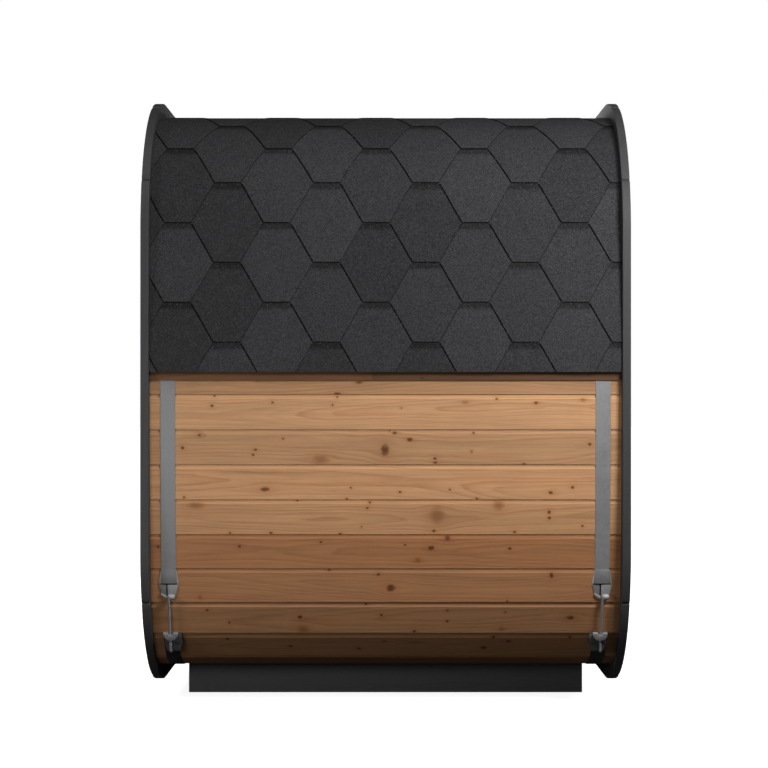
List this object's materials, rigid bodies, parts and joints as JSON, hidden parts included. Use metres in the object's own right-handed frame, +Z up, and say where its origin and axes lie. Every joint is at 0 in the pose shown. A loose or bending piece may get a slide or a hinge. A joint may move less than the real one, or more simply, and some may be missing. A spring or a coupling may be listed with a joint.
{
  "type": "cube sauna",
  "caption": "Rounded-square outdoor sauna cabin of horizontal thermo-treated staves with black end rings, a hexagonal shingle roof, steel tightening straps and a timber base.",
  "frame": {"origin": "on the ground under the middle of the cabin", "axes": "+X across the cabin to the right of someone facing the building's back wall, +Y along the cabin from the door end to the back, +Z up"},
  "size_m": [2.1, 1.67, 2.153],
  "materials": {
    "thermo_wood": "satin",
    "black_paint": "matte",
    "shingle": "matte",
    "steel": "satin",
    "glass": "gloss"
  },
  "bodies": {
    "root": {"wall_right": "thermo_wood", "wall_left": "thermo_wood", "roof_staves": "thermo_wood", "floor_staves": "thermo_wood", "corner_staves_top_right": "thermo_wood", "corner_staves_top_left": "thermo_wood", "corner_staves_low_right": "thermo_wood", "corner_staves_low_left": "thermo_wood", "front_wall_left": "thermo_wood", "front_wall_right": "thermo_wood", "front_wall_head": "thermo_wood", "front_wall_sill": "thermo_wood", "back_wall": "thermo_wood", "front_ring_sides": "black_paint", "front_ring_top_and_bottom": "black_paint", "front_ring_corners": "black_paint", "back_ring_sides": "black_paint", "back_ring_top_and_bottom": "black_paint", "back_ring_corners": "black_paint", "roof_boards_right": "thermo_wood", "roof_boards_left": "thermo_wood", "roof_boards_top": "thermo_wood", "roof_boards_corner_right": "thermo_wood", "roof_boards_corner_left": "thermo_wood", "shingles_right": "shingle", "shingles_left": "shingle", "shingles_top": "shingle", "strap_front": "steel", "strap_back": "steel", "tensioner_front_right": "steel", "tensioner_front_left": "steel", "tensioner_back_right": "steel", "tensioner_back_left": "steel", "tension_rods": "steel", "base_beam_right": "black_paint", "base_beam_left": "black_paint", "base_bearer_front": "black_paint", "base_bearer_middle": "black_paint", "base_bearer_back": "black_paint", "door_frame": "black_paint", "door_glass": "glass", "door_hinges": "steel", "door_handles": "thermo_wood", "floor_boards": "thermo_wood", "floor_joists": "thermo_wood"}
  },
  "joints": []
}
